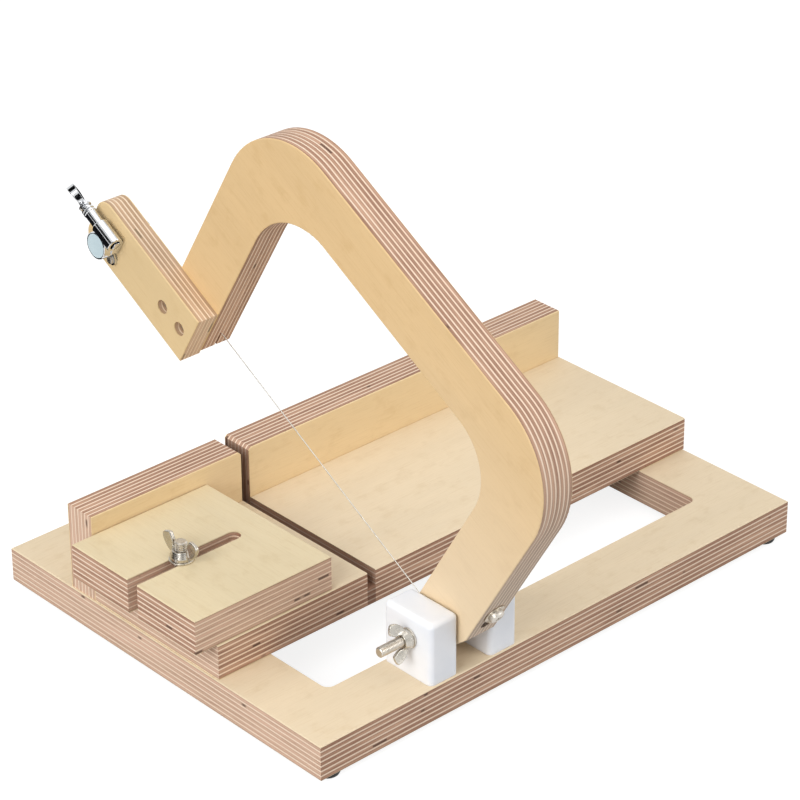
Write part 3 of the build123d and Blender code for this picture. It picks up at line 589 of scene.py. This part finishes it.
def plywood(name, middle, grain, across, stack, thickness, face, seed, paling=0.8, shade_and_tone=None):
    """Birch plywood: a grained face veneer over dark and pale plies, solid right through.

    middle is a point of the board's middle plane; grain, across and stack are its three
    directions, and all distances inside the material are in millimetres. paling is how much
    paler the plies are where they are cut across the grain. The last argument recolours the
    result: it paints shade in the saw cut and in the lug's pocket and a sheen on the arm, and
    gives the tuner block a paler tone of its own.
    """
    material, tree, shader = new_material(name)
    sheet = Sheet(tree)
    turn = Matrix((grain, across, stack))
    mapping = sheet.node("ShaderNodeMapping")
    texture = sheet.node("ShaderNodeTexCoord")
    sheet.link(texture.outputs["Object"], mapping.inputs["Vector"])
    mapping.inputs["Scale"].default_value = (to_mm, to_mm, to_mm)
    mapping.inputs["Rotation"].default_value = turn.to_euler()
    mapping.inputs["Location"].default_value = -(turn @ Vector(middle)) * to_mm
    coords = mapping.outputs[0]
    split = sheet.node("ShaderNodeSeparateXYZ")
    sheet.link(coords, split.inputs[0])
    shift = sheet.node("ShaderNodeVectorMath", operation="ADD")
    sheet.link(coords, shift.inputs[0])
    shift.inputs[1].default_value = [seed * step for step in seed_steps]
    wood = shift.outputs[0]

    def pattern(kind):
        scale, detail, roughness = patterns[kind]
        return sheet.noise(sheet.stretch(wood, scale), 1.0, detail, roughness)

    # Depth below the nearer face, in millimetres, and the ply that a point is in
    sway = sheet.times(sheet.math("SUBTRACT", pattern("sway"), 0.5), ply_sway)
    level = sheet.math("ADD", split.outputs["Z"], sway)
    board = thickness / mm
    depth = sheet.math("SUBTRACT", board / 2, sheet.math("ABSOLUTE", split.outputs["Z"]))
    pairs = pairs_thick if board > thick_board else pairs_thin
    cycle = sheet.math("DIVIDE", level, (board - face_veneers) / pairs)
    count = sheet.math("ROUND", cycle)
    beat = sheet.times(sheet.math("ABSOLUTE", sheet.math("SUBTRACT", cycle, count)), 2)

    # Cut plies: pale bands between dark ones, with streaks along the sheet and dark voids
    streak = pattern("streak")
    patch = pattern("patch")
    facing = sheet.node("ShaderNodeVectorMath", operation="DOT_PRODUCT")
    sheet.link(texture.outputs["Normal"], facing.inputs[0])
    facing.inputs[1].default_value = grain
    cross_cut = sheet.math("POWER", sheet.math("ABSOLUTE", facing.outputs["Value"]), 2.0)
    pale = sheet.mix(streak, *pale_ply)
    brown = sheet.mix(sheet.ramp(streak, *marks["brown"]), *brown_ply)
    brown = sheet.tint(brown, pattern("fleck"), *marks["fleck"], brown_fleck)
    brown = sheet.tint(brown, patch, *marks["patch"], brown_patch)
    tan = sheet.mix(sheet.ramp(streak, *marks["tan"]), *cross_cut_ply)
    tan = sheet.tint(tan, patch, *marks["tan_patch"], cross_cut_patch)
    brown = sheet.mix(sheet.times(cross_cut, paling), brown, tan)
    band = sheet.ramp(beat, *marks["band"])
    plies = sheet.mix(band, brown, pale)
    seam = sheet.times(
        sheet.ramp(beat, *marks["seam_start"]), sheet.ramp(beat, *marks["seam_end"])
    )
    plies = sheet.mix(sheet.times(seam, seam_share), plies, glue_seam)
    cell = sheet.node("ShaderNodeCombineXYZ")
    sheet.put(cell.inputs[0], sheet.times(split.outputs["X"], void_scale))
    sheet.put(cell.inputs[1], sheet.times(split.outputs["Y"], void_scale))
    sheet.put(cell.inputs[2], sheet.math("ADD", sheet.times(count, void_step), seed))
    void = sheet.times(
        sheet.ramp(sheet.noise(cell.outputs[0], detail=1), *marks["void"]),
        sheet.ramp(beat, *marks["void_ply"]),
    )
    plies = sheet.mix(sheet.times(void, void_share), plies, void_dark)

    # Face veneer: long fine streaks, slow figure and small flecks
    fine = pattern("fine")
    deep = tuple(channel * share for channel, share in zip(face, deep_shares)) + (1,)
    bright = tuple(min(1.0, channel * bright_share) for channel in face[:3]) + (1,)
    veneer = sheet.mix(sheet.ramp(pattern("figure"), *marks["figure"]), face, bright)
    veneer = sheet.tint(veneer, fine, *marks["fine"], deep)
    veneer = sheet.tint(veneer, pattern("mottle"), *marks["mottle"], deep)
    veneer = sheet.tint(veneer, pattern("pores"), *marks["pores"], pore_brown)
    skin = sheet.ramp(depth, *marks["skin"])
    colour = sheet.mix(skin, plies, veneer)
    rim = sheet.times(
        sheet.ramp(depth, *marks["rim_start"]), sheet.ramp(depth, *marks["rim_end"])
    )
    colour = sheet.mix(sheet.times(rim, rim_share), colour, rim_brown)
    # Painted shade in the kerf and the lug's pocket, the arm's painted sheen, and the tuner
    # block's paler tone
    if shade_and_tone:
        colour = shade_and_tone(sheet, split, colour)
    sheet.link(colour, shader.inputs["Base Color"])

    # Shine and relief
    dull = sheet.math("ADD", fine, sheet.times(skin, skin_dullness))
    sheet.link(sheet.ramp(dull, 0, 1, *wood_roughness), shader.inputs["Roughness"])
    cut = sheet.math("SUBTRACT", 1.0, skin)
    ridges = sheet.times(cut, sheet.times(band, band_relief))
    relief = sheet.math("ADD", sheet.times(fine, fine_relief), ridges)
    relief = sheet.math("ADD", relief, sheet.times(streak, streak_relief))
    sheet.link(sheet.bump(relief, wood_relief, relief_strength), shader.inputs["Normal"])
    shader.inputs["Specular IOR Level"].default_value = wood_specular
    return material


# Metal, plastic and rubber: detail and roughness of the noises, and where they start and are full
grit_noise = (3, 0.6)
grit_ends = (0.2, 0.8)
grit_strength = 0.5
metal_clouds = (4, 0.6)
metal_cloud_ends = (0.35, 0.75)
metal_dark_share = 0.82
metal_grit_share = 9
moulded_clouds = (3, 0.5)
moulded_cloud_ends = (0.3, 0.7)
moulded_cloud_share = 0.08
moulded_spread = 0.12
subsurface_depth = 2.5 * mm


def gritty(name, colour, second, cloud, cloud_ends, grit_scale, roughness, spread, relief):
    """A material with clouds of a second colour, and a fine grit in its shine and its relief.

    cloud is the scale, detail and roughness of the noise of the clouds, and cloud_ends is where
    in it the second colour starts and where it is full.
    """
    material, tree, shader = new_material(name)
    sheet = Sheet(tree)
    coords = sheet.node("ShaderNodeTexCoord").outputs["Object"]
    clouds = sheet.ramp(sheet.noise(coords, *cloud), *cloud_ends)
    grit = sheet.noise(coords, grit_scale, *grit_noise)
    sheet.link(sheet.mix(clouds, colour, second), shader.inputs["Base Color"])
    dull = sheet.ramp(grit, *grit_ends, roughness, roughness + spread)
    sheet.link(dull, shader.inputs["Roughness"])
    sheet.link(sheet.bump(grit, relief, grit_strength), shader.inputs["Normal"])
    return material, shader


def metal(name, colour, roughness, spread, scale, relief):
    """Plated metal, a little darker in patches."""
    darker = tuple(channel * metal_dark_share for channel in colour[:3]) + (1,)
    material, shader = gritty(
        name, colour, darker, (scale, *metal_clouds), metal_cloud_ends,
        scale * metal_grit_share, roughness, spread, relief,
    )
    shader.inputs["Metallic"].default_value = 1.0
    return material


def moulded(name, colour, second, roughness, scale, relief, subsurface=0.0):
    """Plastic or rubber, with slow changes between two tones."""
    material, shader = gritty(
        name, colour, second, (scale * moulded_cloud_share, *moulded_clouds),
        moulded_cloud_ends, scale, roughness, moulded_spread, relief,
    )
    if subsurface:
        shader.inputs["Subsurface Weight"].default_value = subsurface
        shader.inputs["Subsurface Radius"].default_value = (1.0, 1.0, 1.0)
        shader.inputs["Subsurface Scale"].default_value = subsurface_depth
    return material


def arm_sheen_and_pocket_shade(sheet, split, colour):
    """A painted sheen makes the arm's veneer paler towards the pivot, and painted shade darkens
    the inside of the lug's pocket.
    """
    s, t, x = (split.outputs[axis] for axis in "XYZ")
    # Painted sheen: paler towards the pivot, low on the arm
    low = sheet.times(sheet.ramp(t, *sheen_t), sheet.ramp(s, *sheen_s))
    colour = sheet.mix(sheet.times(low, arm_sheen_share), colour, arm_sheen_colour)
    # Painted shade inside the lug's pocket
    up_pocket = sheet.math("SUBTRACT", t, pocket_t)
    away = sheet.math("ADD", sheet.times(up_pocket, up_pocket), sheet.times(x, x))
    along = sheet.times(sheet.ramp(s, *pocket_front), sheet.ramp(s, *pocket_back))
    inside = sheet.times(sheet.ramp(away, *pocket_edge), along)
    return sheet.mix(sheet.times(inside, pocket_share), colour, pocket_shade_colour)


def tuner_paling(sheet, split, colour):
    """The tuner block is a little paler than the boards, on its face and its plies."""
    return sheet.mix(tuner_pale_share, colour, tuner_pale)


def kerf_shade(sheet, split, colour):
    """Paints shade on the walls of the saw cut across the bed and the fence."""
    away = sheet.math("ABSOLUTE", sheet.math("SUBTRACT", split.outputs["X"], cut_x / mm))
    return sheet.tint(colour, away, *kerf_edge, kerf_share, kerf_shade_colour)


bed_face = rgb(226, 208, 178)
stop_face = rgb(221, 205, 170)
fence_face = rgb(228, 202, 158)
arm_face = rgb(220, 188, 140)
tuner_face = rgb(214, 185, 139)

base_middle = Vector((0, 0, 12)) * mm
bed_middle = Vector((0, 0, 30)) * mm
stop_middle = Vector((0, 0, 48)) * mm
fence_middle = Vector((0, 56.5, 0)) * mm
block_middle = pivot + right * (block_face + thin_ply / 2)

base_ply = plywood("base_ply", base_middle, right, back, up, ply, bed_face, seed=1)
# The bed and the fence get painted shade in their saw cut
bed_ply = plywood(
    "bed_ply", bed_middle, right, back, up, ply, bed_face, seed=2, shade_and_tone=kerf_shade
)
fence_ply = plywood(
    "fence_ply", fence_middle, right, -up, back, ply, fence_face, seed=3, shade_and_tone=kerf_shade
)
stop_ply = plywood("stop_ply", stop_middle, back, -right, up, ply, stop_face, seed=4)
# The arm gets a painted sheen near the pivot and painted shade in the lug's pocket
arm_ply = plywood(
    "arm_ply", pivot, arm_s, arm_t, right, ply, arm_face, seed=5, paling=0.15, shade_and_tone=arm_sheen_and_pocket_shade
)
tuner_ply = plywood(
    "tuner_ply", block_middle, arm_s, arm_t, right, thin_ply, tuner_face, seed=6,
    shade_and_tone=tuner_paling,
)
white_plastic = moulded(
    "white_plastic", rgb(241, 243, 249), rgb(236, 239, 246), roughness=0.45, scale=900,
    relief=0.02 * mm, subsurface=0.5,
)
shim_plastic = moulded(
    "shim_plastic", rgb(226, 226, 220), rgb(214, 214, 208), roughness=0.4, scale=900,
    relief=0.01 * mm,
)
black_rubber = moulded(
    "black_rubber", rgb(30, 30, 31), rgb(42, 41, 41), roughness=0.6, scale=700, relief=0.05 * mm
)
cap_plate = moulded(
    "tuner_cap_plate", rgb(202, 220, 226), rgb(194, 213, 220), roughness=0.35, scale=600,
    relief=0.004 * mm,
)
zinc = metal(
    "zinc", rgb(214, 208, 198), roughness=0.22, spread=0.2, scale=220, relief=0.01 * mm
)
wing_zinc = metal(
    "wing_zinc", rgb(204, 199, 189), roughness=0.18, spread=0.16, scale=180, relief=0.006 * mm
)
screw_steel = metal(
    "screw_steel", rgb(206, 200, 190), roughness=0.32, spread=0.2, scale=260, relief=0.01 * mm
)
tinned_copper = metal(
    "tinned_copper", rgb(188, 178, 162), roughness=0.22, spread=0.16, scale=300,
    relief=0.02 * mm,
)
wire_steel = metal(
    "wire_steel", rgb(222, 218, 210), roughness=0.4, spread=0.1, scale=500, relief=0.002 * mm
)
chrome = metal(
    "tuner_chrome", rgb(226, 228, 230), roughness=0.05, spread=0.06, scale=120,
    relief=0.002 * mm,
)

finishes = {
    "base_frame": base_ply, "bed_board": bed_ply, "fence_board": fence_ply,
    "stop_plate": stop_ply, "arm_frame": arm_ply, "tuner_block": tuner_ply,
    "pivot_block_left": white_plastic, "pivot_block_right": white_plastic,
    "pivot_shims": shim_plastic, "rubber_feet": black_rubber, "base_screws": screw_steel,
    "fence_screws": screw_steel, "cutting_wire": wire_steel, "wire_lug": tinned_copper,
    "string_post": chrome, "tuner_cap": cap_plate, "pivot_bolt": zinc, "stop_bolt": zinc,
    "pivot_washer": zinc, "stop_washer": zinc, "pivot_wing_nut": wing_zinc,
    "stop_wing_nut": wing_zinc, "lug_screw": screw_steel, "tuner_screw": screw_steel,
    "tuner_block_screws": screw_steel, "tuner_housing": chrome, "tuner_key": chrome,
    "tuner_washer": chrome, "tuner_bushing": chrome,
}
for node_name, finish in finishes.items():
    node = nodes[node_name]
    if not node.material_slots:
        node.data.materials.append(finish)
    for held in node.material_slots:
        held.material = finish

# Bolts, washers and wing nuts
m6 = {"radius": 3.0 * mm, "pitch": 1.0 * mm, "flats": 10 * mm, "head": 4 * mm, "washer": 6 * mm}
m5 = {"radius": 2.5 * mm, "pitch": 0.8 * mm, "flats": 8 * mm, "head": 3.5 * mm, "washer": 5 * mm}
m6_nut = {
    "bore": 6.2, "span": 24, "height": 11.2, "thickness": 2.6, "foot": 11, "top": 8.6,
    "boss_height": 4.6,
}
m5_nut = {
    "bore": 5.2, "span": 21, "height": 9.9, "thickness": 2.3, "foot": 9.4, "top": 7.4,
    "boss_height": 4.2,
}
stop_bolt_length = 60 * mm
pivot_bolt_length = 72 * mm
pivot_seat = pivot - right * pivot_block_outer
stop_seat = Vector((*stop_bolt_at.xy, plate_top))
bolts = (
    ("stop_bolt", stop_bolt_at, up, right, m6, stop_bolt_length, "stop_washer", stop_seat),
    ("pivot_bolt", pivot + right * pivot_block_outer, -right, back, m5, pivot_bolt_length,
     "pivot_washer", pivot_seat),
)
for bolt_name, seat, along, side, size, length, washer_name, washer_seat in bolts:
    shank = thread("shank", size["radius"], length, size["pitch"], bolt_chamfer)
    head = hex_head("head", size["flats"], size["head"])
    settle(head, Matrix.Rotation(math.pi, 4, "X"))
    bolt = join(bolt_name + "_threaded", shank, head)
    settle(bolt, place(seat, along, side))
    dress(bolt, "base", "zinc", zinc, bolt_name)
    washer = ring(
        washer_name + "_pressed", size["radius"] + hole_clearance,
        [(washer_play, size["washer"]), (washer_thickness, size["washer"])],
    )
    ease_edges(washer, 0.2 * mm, 3)
    settle(washer, place(washer_seat, along, side))
    dress(washer, "base", "zinc", zinc, washer_name)

nut = wing_nut("stop_wing_nut_cast", **m6_nut)
wing_side = Vector((-math.sin(wing_turn), math.cos(wing_turn), 0))
settle(nut, place(stop_seat + up * washer_thickness, up, wing_side))
dress(nut, "stop_nut", "wing_zinc", wing_zinc, "stop_wing_nut")
nut = wing_nut("pivot_wing_nut_cast", **m5_nut)
wing_side = Vector((0, math.sin(pivot_wing_turn), math.cos(pivot_wing_turn)))
settle(nut, place(pivot_seat - right * washer_thickness, -right, wing_side))
dress(nut, "pivot_nut", "wing_zinc", wing_zinc, "pivot_wing_nut")

# Screws on the arm: two in the tuner block and one on the lug
block_screw_places = (187.75 * mm, 201.75 * mm)
block_screw_t = -6.25 * mm
block_screw_seat = -16 * mm
for number, s in enumerate(block_screw_places):
    screw = pan_screw(
        "tuner_block_screw_%d" % (number + 1), head=3.1 * mm, head_height=2 * mm,
        shank=2 * mm, length=20 * mm, recess=0.3,
    )
    settle(screw, place(arm_point(s, block_screw_t, block_screw_seat), -right, arm_s))
    dress(screw, "arm", "screw_steel", screw_steel, "tuner_block_screws")
lug_thickness = 0.8 * mm
lug_t = 25 * mm
leg_front = -16 * mm
lug_seat = arm_point(leg_front - lug_thickness, lug_t, 0)
screw = pan_screw(
    "lug_screw_head", head=3.8 * mm, head_height=2.6 * mm, shank=2 * mm, length=15 * mm,
    recess=0.5,
)
settle(screw, place(lug_seat, -arm_s, arm_t))
dress(screw, "arm", "screw_steel", screw_steel, "lug_screw")

# Lug: a stamped ring with a rolled barrel that dips into its pocket
lug_bore = 2.1 * mm
lug_radius = 5.5 * mm
lug = ring("wire_lug_ring", lug_bore, [(0, lug_radius), (lug_thickness, lug_radius)])
ease_edges(lug, 0.15 * mm)
settle(lug, place(arm_point(leg_front, lug_t, 0), -arm_s, arm_t))
barrel_bore = 0.5 * mm
barrel_at = arm_point(-16.4 * mm, 19.5 * mm, 0)
barrel_profile = in_mm(
    (-0.8, 1.25), (0.2, 1.4), (1.6, 1.4), (2.0, 1.2), (3.6, 1.2), (4.0, 1.4), (5.6, 1.4)
)
barrel = ring("barrel", barrel_bore, barrel_profile, sides=32)
dip = math.radians(40)
barrel_way = arm_s * math.sin(dip) - arm_t * math.cos(dip)
ease_edges(barrel, 0.1 * mm)
settle(barrel, place(barrel_at, barrel_way, right))
lug = join("wire_lug_stamped", barrel, lug)
dress(lug, "arm", "tinned_copper", tinned_copper, "wire_lug")

# Tuner: a cast housing with its cap and its fixing screw; heights in profiles in millimetres
post_s = 245 * mm
post_t = -6.7 * mm
worm_t = post_t + 7.6 * mm
worm_height = 5.5 * mm
tube_back = 7.5 * mm
tube_bore = 2.7 * mm
sleeve_bore = 2.1 * mm
cap_height = 9.3
cap_chamfer = 0.1
rim_step = 0.001
well_floor = 8.5
housing_place = place(arm_point(post_s, post_t, block_face), -right, arm_s)
tube_at = arm_point(post_s - tube_back, worm_t, block_face - worm_height)
tube_place = place(tube_at, arm_s, right)
drum_profile = in_mm(
    (0, 7.2), (1.2, 7.2), (1.9, 6.9), (8.6, 6.9), (9.1, 6.75), (cap_height, 6.45),
    (cap_height + rim_step, 6.15), (well_floor, 6.1),
)
tube_profile = in_mm((0, 3.95), (0.25, 4.1), (12.9, 4.1), (13.5, 3.6))
sleeve_profile = in_mm((13, 3.0), (20.6, 3.0), (20.9, 3.25), (21.7, 3.25), (22, 3.0))
drum = stepped("drum", drum_profile, sides=96)
smooth(drum, angle=30)
tube = ring("tube", tube_bore, tube_profile, sides=72)
sleeve = ring("sleeve", sleeve_bore, sleeve_profile, sides=64)
for piece in (tube, sleeve):
    smooth(piece, angle=30)
    settle(piece, tube_place)
saddle_at = (-0.75 * mm, -3.8 * mm, 2.75 * mm)
saddle_size = (13.5 * mm, 7.6 * mm, 5.5 * mm)
bpy.ops.mesh.primitive_cube_add(size=1, location=saddle_at)
bpy.context.object.scale = saddle_size
saddle = begin("saddle")
ease_edges(saddle, 0.5 * mm, 3)
ear_radius = 2.8 * mm
ear_thickness = 1.6 * mm
ear_x = -6 * mm
ear_y = 7.2 * mm
ear_root = (4.6 * mm, -4.4 * mm, 0)
root_side = -0.2
upright_face = 0.5
bpy.ops.mesh.primitive_cylinder_add(
    vertices=48, radius=ear_radius, depth=ear_thickness, location=(ear_x, ear_y, ear_thickness / 2)
)
ear = begin("ear")
pick("FACE", lambda c, n: n.y < root_side and abs(n.z) < upright_face)
bpy.ops.mesh.extrude_region_move(TRANSFORM_OT_translate={"value": ear_root})
close_mesh()
ease_edges(ear, 0.3 * mm, 3)
for piece in (drum, saddle, ear):
    settle(piece, housing_place)
housing = join("tuner_housing_cast", sleeve, tube, saddle, ear, drum)
dress(housing, "arm", "tuner_chrome", chrome, "tuner_housing")

cap_profile = in_mm((well_floor, 6.08), (cap_height - cap_chamfer, 6.08), (cap_height, 5.95))
cap = stepped("tuner_cap_disc", cap_profile, sides=96)
settle(cap, housing_place)
dress(cap, "arm", "tuner_cap_plate", cap_plate, "tuner_cap")

ear_screw = pan_screw(
    "tuner_fixing_screw", head=2 * mm, head_height=1.5 * mm, shank=1 * mm, length=9 * mm,
    recess=0.2,
)
ear_seat = arm_point(post_s + ear_x, post_t - ear_y, block_face - ear_thickness)
settle(ear_screw, place(ear_seat, -right, arm_s))
dress(ear_screw, "arm", "screw_steel", screw_steel, "tuner_screw")

# Key: a turned shaft with two collar rings, and a flat button that is grown ring by ring
collar_at = 22.3
collar_step = 1e-5
shaft_profile = in_mm(
    (3.5, 2.3), (11.5, 2.3), (12.1, 2.04), (collar_at, 2.04), (collar_at + collar_step, 2.8),
    (22.6, 3.15), (23.0, 3.2), (23.4, 3.15), (23.7, 2.8), (23.9, 2.1), (24.7, 2.1),
    (24.8, 2.8), (25.0, 3.15), (25.4, 3.2), (25.8, 3.15), (26.1, 2.8), (26.3, 1.9), (28.6, 1.7),
)
shaft = stepped("tuner_key_turned", shaft_profile, sides=64)
smooth(shaft, angle=40)
button_start = 0.2 * mm
button_sections = in_mm(
    (27.1, 7.2, 2.8), (27.5, 7.6, 2.9), (29.5, 10.6, 3.1), (32.3, 13.0, 3.5), (34.6, 12.2, 3.9),
    (36.0, 10.8, 4.2), (36.4, 10.2, 4.0),
)
start_at, width, thick = button_sections[0]
bpy.ops.mesh.primitive_cube_add(size=1, location=(0, 0, start_at + button_start / 2))
bpy.context.object.scale = (width, thick, button_start)
button = begin("button")
top = start_at + button_start
pick("FACE", lambda c, n: n.z > squarely)
for height, wide, deep in button_sections[1:]:
    bpy.ops.mesh.extrude_region_move(TRANSFORM_OT_translate={"value": (0, 0, height - top)})
    bpy.ops.transform.resize(
        value=(wide / width, deep / thick, 1), center_override=(0, 0, height)
    )
    top = height
    width = wide
    thick = deep
close_mesh()
apply_modifier(
    button, "BEVEL", width=0.9 * mm, segments=4, limit_method="ANGLE",
    angle_limit=math.radians(40),
)
apply_modifier(button, "SUBSURF", levels=1, render_levels=1)
smooth(button, angle=50)
button_turn = math.radians(53)
broad = arm_t * math.sin(button_turn) - right * math.cos(button_turn)
settle(button, place(tube_at, arm_s, broad))
settle(shaft, tube_place)
key = join("tuner_key_cast", button, shaft)
dress(key, "key", "tuner_chrome", chrome, "tuner_key")

# Feet: low rubber discs with a rounded rim and a dished middle
foot_x = 143 * mm
foot_y = 105.5 * mm
foot_profile = in_mm((0.25, 3.2), (0.26, 4.4), (0.0, 4.7), (0.35, 5.65), (1.1, 6.0), (3.0, 6.0))
feet = ((-foot_x, -foot_y), (foot_x, -foot_y), (-foot_x, foot_y), (foot_x, foot_y))
for number, (x, y) in enumerate(feet):
    foot = stepped("rubber_foot_%d" % (number + 1), foot_profile, sides=56)
    smooth(foot, angle=40)
    settle(foot, Matrix.Translation((x, y, 0)))
    dress(foot, "base", "black_rubber", black_rubber, "rubber_feet")

# Floor, light and camera; places and sizes in metres, powers in watts


def matt(name, colour, roughness):
    """A material without any shine, with its tree and its shader."""
    material, tree, shader = new_material(name)
    shader.inputs["Base Color"].default_value = colour
    shader.inputs["Roughness"].default_value = roughness
    shader.inputs["Specular IOR Level"].default_value = 0.0
    return material, tree, shader


def shown(sheet):
    """1 for rays from the camera, from mirrors and through glass, 0 for those that only light."""
    path = sheet.node("ShaderNodeLightPath")
    mirrored = sheet.math(
        "MAXIMUM", path.outputs["Is Glossy Ray"], path.outputs["Is Transmission Ray"]
    )
    return sheet.math("MAXIMUM", path.outputs["Is Camera Ray"], mirrored)


def lamp(name, place_at, size, power):
    """A square soft light that looks at the object."""
    data = bpy.data.lights.new(name, "AREA")
    data.shape = "RECTANGLE"
    data.size, data.size_y = size
    data.energy = power
    light = bpy.data.objects.new(name, data)
    bpy.context.scene.collection.objects.link(light)
    light.location = place_at
    light.rotation_euler = (lamp_target - Vector(place_at)).to_track_quat("-Z", "Y").to_euler()


def dark_card(name, place_at, turn, size):
    """A dark sheet that only reflections see, which gives the chrome its black streaks."""
    bpy.ops.mesh.primitive_plane_add(size=1, location=place_at, rotation=turn)
    card = bpy.context.object
    card.name = name
    card.scale = (*size, 1)
    card.data.materials.append(card_black)
    card.visible_camera = False
    card.visible_diffuse = False
    card.visible_shadow = False
    card.visible_transmission = False


floor_size = 6
floor_grey = (0.3, 0.3, 0.3, 1)
floor_glow = 0.84
bpy.ops.mesh.primitive_plane_add(size=floor_size, location=(0, 0, 0))
floor = bpy.context.object
floor.name = "floor"
floor_material, floor_tree, floor_shader = matt("floor", floor_grey, roughness=0.9)
sheet = Sheet(floor_tree)
glow = sheet.node("ShaderNodeEmission")
sheet.put(glow.inputs["Strength"], sheet.times(shown(sheet), floor_glow))
both = sheet.node("ShaderNodeAddShader")
sheet.link(floor_shader.outputs[0], both.inputs[0])
sheet.link(glow.outputs[0], both.inputs[1])
sheet.link(both.outputs[0], floor_tree.nodes["Material Output"].inputs["Surface"])
floor.data.materials.append(floor_material)

world = bpy.data.worlds.new("studio")
bpy.context.scene.world = world
world.use_nodes = True
sheet = Sheet(world.node_tree)
background = world.node_tree.nodes["Background"]
background.inputs["Color"].default_value = (1, 1, 1, 1)
ambient = 0.55
sheet.put(
    background.inputs["Strength"],
    sheet.math("ADD", ambient, sheet.times(shown(sheet), 1.0 - ambient)),
)

lamp_target = Vector((0, 0, 0.08))
lamp("key", (-1.7, -0.35, 1.0), size=(1.2, 1.2), power=26)
lamp("fill", (0.9, -1.6, 0.9), size=(1.2, 1.0), power=11.5)
lamp("top", (0.1, 0.3, 1.9), size=(1.6, 1.6), power=7)

card_colour = (0.01, 0.01, 0.012, 1)
card_black = matt("card_black", card_colour, roughness=1.0)[0]
flat = (0, 0, 0)
sideways = (0, math.pi / 2, 0)
frontways = (math.pi / 2, 0, math.radians(-26))
dark_card("card_floor", (-0.35, 0.62, 0.002), flat, size=(1.3, 0.9))
dark_card("card_left_low", (-0.75, 0.40, 0.17), sideways, size=(0.34, 1.3))
dark_card("card_left_high", (-0.75, 0.40, 0.64), sideways, size=(0.44, 1.3))
dark_card("card_front", (-0.62, -1.0, 0.5), frontways, size=(0.6, 0.5))
dark_card("card_above", (-0.5, 0.55, 1.2), flat, size=(0.7, 0.9))

camera_tilt = math.radians(63.1864)
camera_roll = math.radians(0.0786)
camera_turn = math.radians(-42.9310)
camera_data = bpy.data.cameras.new("camera")
camera = bpy.data.objects.new("camera", camera_data)
bpy.context.scene.collection.objects.link(camera)
camera.location = (-0.88654, -0.97279, 0.81655)
camera.rotation_euler = Euler((camera_tilt, camera_roll, camera_turn))
camera_data.lens = 142.20
camera_data.sensor_width = 36
camera_data.shift_x = -0.03757
camera_data.shift_y = -0.14442
camera_data.clip_start = 0.05
camera_data.clip_end = 20
bpy.context.scene.camera = camera
bpy.context.scene.view_settings.view_transform = "Standard"
